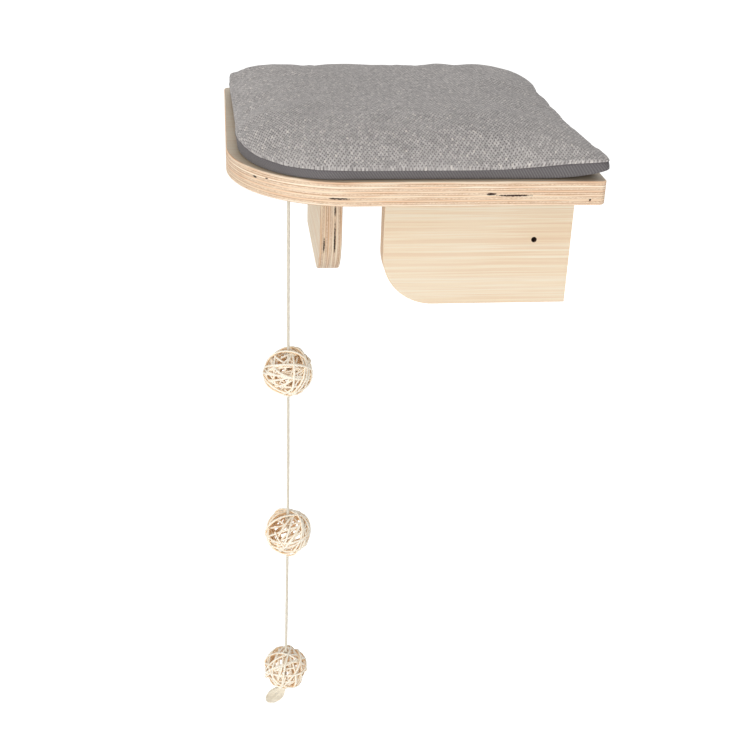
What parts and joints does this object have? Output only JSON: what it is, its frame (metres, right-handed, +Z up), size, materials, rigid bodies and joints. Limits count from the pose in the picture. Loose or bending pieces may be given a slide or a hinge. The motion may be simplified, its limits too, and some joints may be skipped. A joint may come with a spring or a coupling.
{
  "type": "cat wall corner platform",
  "caption": "Square plywood perch for a room corner on two wall brackets, with a rounded free corner, a loose cushion and wound rattan balls on a hanging cord.",
  "frame": {"origin": "corner of the board's top face where the two walls meet", "axes": "+X into the side wall, +Y into the back wall, +Z up"},
  "size_m": [0.3, 0.3, 0.5945],
  "materials": {
    "board_plywood": "clear satin lacquer on birch plywood, light striped edges",
    "bracket_plywood": "clear satin lacquer on birch plywood",
    "screw_steel": "bright zinc plating",
    "top_fabric": "light grey coarse basket weave",
    "base_fabric": "dark grey smooth plain cloth",
    "filling_fibre": "white polyester fibre",
    "cotton_cord": "natural cotton, twisted",
    "rattan": "peeled rattan core, matt"
  },
  "bodies": {
    "platform": {"platform_board": "board_plywood", "back_wall_bracket": "bracket_plywood", "side_wall_bracket": "bracket_plywood", "back_bracket_wall_screw": "screw_steel", "back_bracket_free_screw": "screw_steel", "side_bracket_wall_screw": "screw_steel", "side_bracket_free_screw": "screw_steel", "top_knot": "cotton_cord", "cord_through_board": "cotton_cord"},
    "cushion": {"cushion_top_cover": "top_fabric", "cushion_base_cover": "base_fabric", "cushion_filling": "filling_fibre"},
    "swing_knot": {"stop_knot": "cotton_cord"},
    "toy_cord": {"upper_cord": "cotton_cord", "upper_ball_knot": "cotton_cord", "middle_cord": "cotton_cord", "middle_ball_knot": "cotton_cord", "lower_cord": "cotton_cord", "end_knot": "cotton_cord", "frayed_end": "cotton_cord"},
    "first_ball": {"upper_ball": "rattan"},
    "second_ball": {"middle_ball": "rattan"},
    "third_ball": {"lower_ball": "rattan"}
  },
  "joints": [
    {"name": "cushion_lift", "type": "slide", "parent": "platform", "child": "cushion", "axis": [0, 0, 1], "range_m": [0, 0.12]},
    {"name": "toy_swing_to_back_wall", "type": "hinge", "parent": "platform", "child": "swing_knot", "pos_m": [-0.25, -0.25, -0.0236], "axis": [1, 0, 0], "range_deg": [-60, 25]},
    {"name": "toy_swing_to_side_wall", "type": "hinge", "parent": "swing_knot", "child": "toy_cord", "pos_m": [-0.25, -0.25, -0.0236], "axis": [0, -1, 0], "range_deg": [-60, 25]},
    {"name": "first_ball_spin", "type": "hinge", "parent": "toy_cord", "child": "first_ball", "pos_m": [-0.25, -0.25, -0.187], "axis": [0, 0, 1], "continuous": true},
    {"name": "second_ball_spin", "type": "hinge", "parent": "toy_cord", "child": "second_ball", "pos_m": [-0.2495, -0.25, -0.355], "axis": [0, 0, 1], "continuous": true},
    {"name": "third_ball_spin", "type": "hinge", "parent": "toy_cord", "child": "third_ball", "pos_m": [-0.252, -0.25, -0.516], "axis": [0, 0, 1], "continuous": true}
  ]
}
